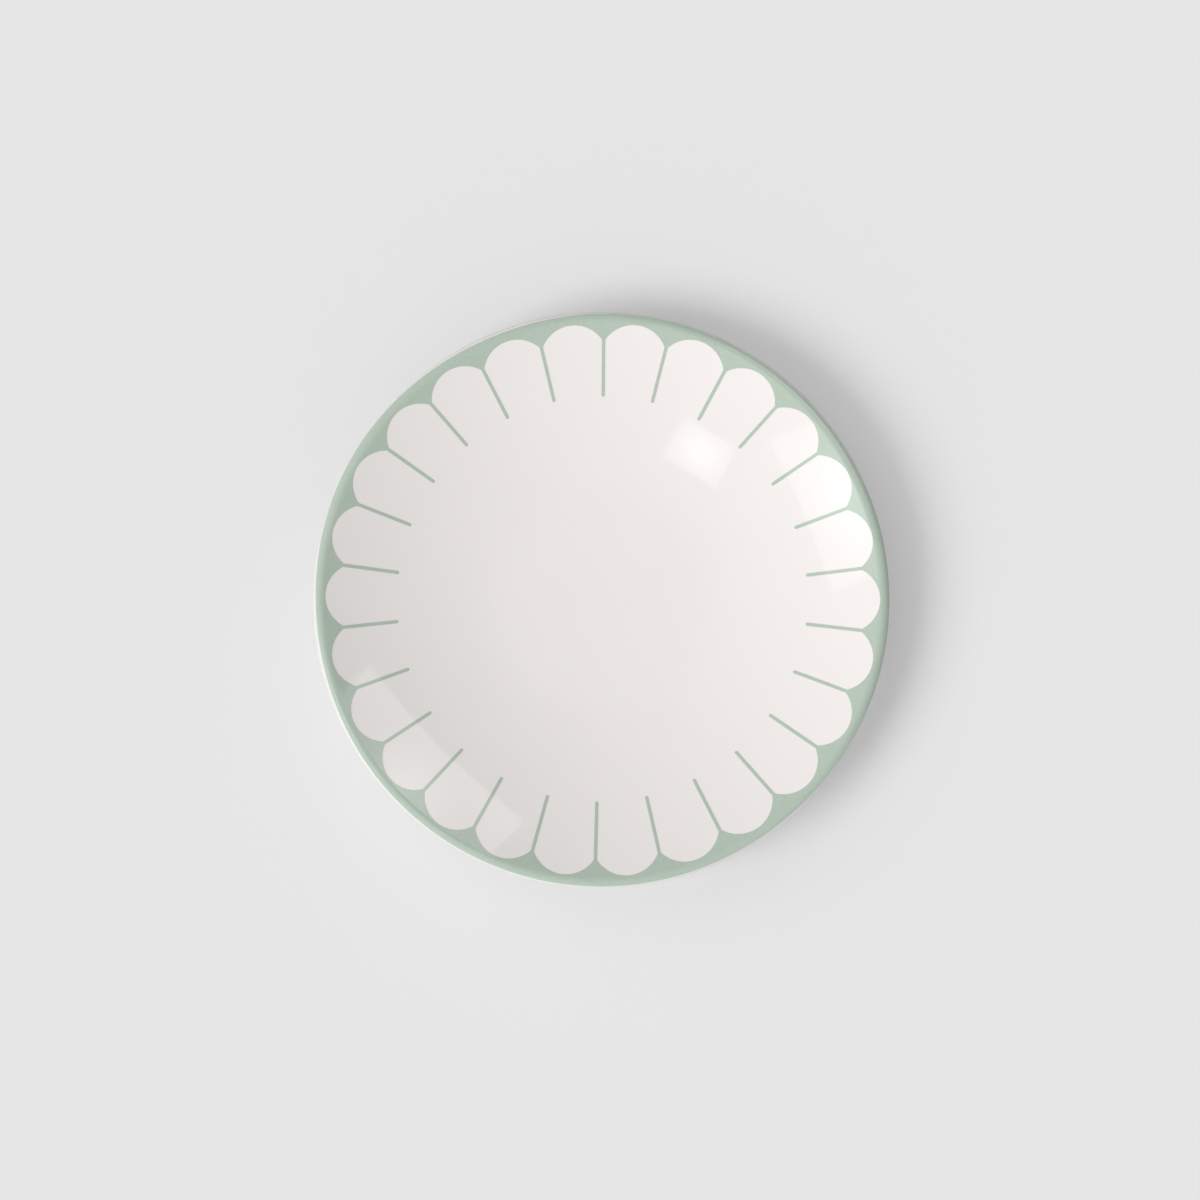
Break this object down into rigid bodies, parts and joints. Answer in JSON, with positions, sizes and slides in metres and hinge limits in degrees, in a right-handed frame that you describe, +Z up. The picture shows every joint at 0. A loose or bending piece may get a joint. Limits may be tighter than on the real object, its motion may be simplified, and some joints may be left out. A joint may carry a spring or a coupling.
{
  "type": "dessert plate",
  "caption": "Round coupe dessert plate in glazed porcelain: gently dished face, rim with a soft lip, bare foot ring and a green scalloped border print.",
  "frame": {"origin": "on the table, under the middle of the plate", "axes": "+Z up along the plate's axis; +X to the right and +Y away from the viewer as the plate lies in the picture"},
  "size_m": [0.21, 0.21, 0.0214],
  "materials": {
    "bare_porcelain": "unglazed, fine matte",
    "white_glaze": "gloss",
    "green_print": "gloss print"
  },
  "bodies": {
    "root": {"porcelain_body": "bare_porcelain", "clear_glaze": "white_glaze", "base_glaze": "white_glaze", "scallop_print": "green_print"}
  },
  "joints": []
}
